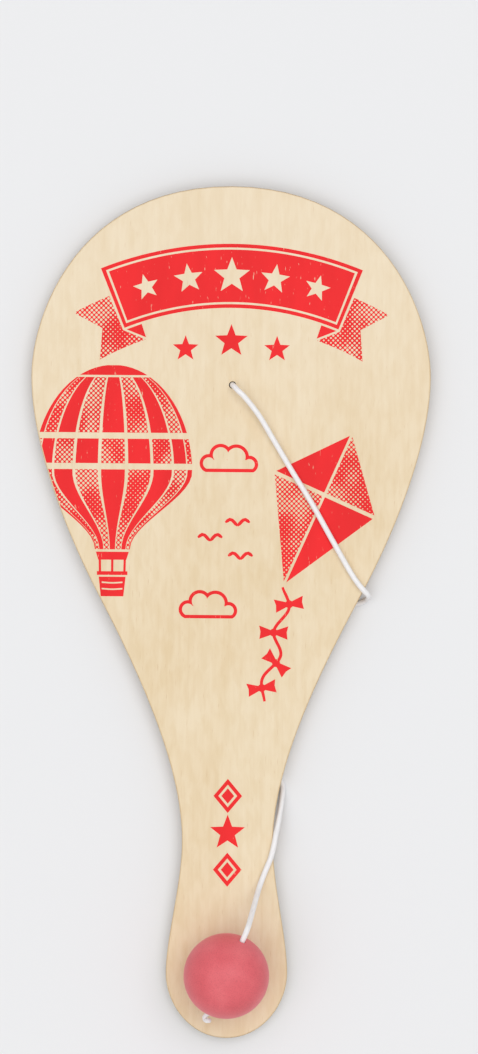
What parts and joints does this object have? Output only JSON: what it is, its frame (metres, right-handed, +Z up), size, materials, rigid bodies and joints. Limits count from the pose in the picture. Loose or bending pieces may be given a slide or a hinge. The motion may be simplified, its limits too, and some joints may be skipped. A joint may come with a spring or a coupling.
{
  "type": "paddle ball",
  "caption": "Wooden paddle with a waisted handle and a rubber ball on an elastic that comes out of a hole in the paddle's face; a hand bat-and-ball game.",
  "frame": {"origin": "on the surface that the paddle lies on, under the middle of the paddle's length and width", "axes": "+Y from the handle's end to the top of the head, +X to the right of the printed face, +Z up out of the printed face"},
  "size_m": [0.131, 0.2794, 0.0349],
  "materials": {
    "birch_veneer": "smooth sanded birch veneer under a thin clear coat, printed on the front",
    "core_veneer": "sawn and sanded edge of a darker core veneer",
    "white_elastic": "smooth white round elastic",
    "red_rubber": "matt red moulded rubber"
  },
  "bodies": {
    "paddle": {"paddle_front_ply": "birch_veneer", "paddle_core_ply": "core_veneer", "paddle_back_ply": "birch_veneer", "anchor_knot": "white_elastic", "elastic_front_run": "white_elastic", "elastic_back_loop": "white_elastic"},
    "elastic_at_rim": {"elastic_rim_bend": "white_elastic"},
    "free_elastic": {"elastic_lead": "white_elastic"},
    "elastic_end": {"elastic_ball_end": "white_elastic", "ball_knot": "white_elastic"},
    "ball": {"ball": "red_rubber"}
  },
  "joints": [
    {"name": "ball_swing", "type": "hinge", "parent": "paddle", "child": "elastic_at_rim", "pos_m": [0.0143, -0.0802, 0.00792], "axis": [0, 0, 1], "range_deg": [-90, 90]},
    {"name": "ball_lift", "type": "hinge", "parent": "elastic_at_rim", "child": "free_elastic", "pos_m": [0.0125, -0.0848, 0.00792], "axis": [-0.9312, 0.3644, 0], "range_deg": [0, 90]},
    {"name": "ball_pull", "type": "slide", "parent": "free_elastic", "child": "elastic_end", "axis": [-0.2449, -0.7275, 0.6409], "range_m": [0, 0.1], "stiffness_N_per_m": 40, "deforming": ["elastic_lead"]},
    {"name": "ball_spin", "type": "hinge", "parent": "elastic_end", "child": "ball", "pos_m": [0, -0.1183, 0.02097], "axis": [0.3697, 0.8503, 0.3746], "continuous": true}
  ]
}
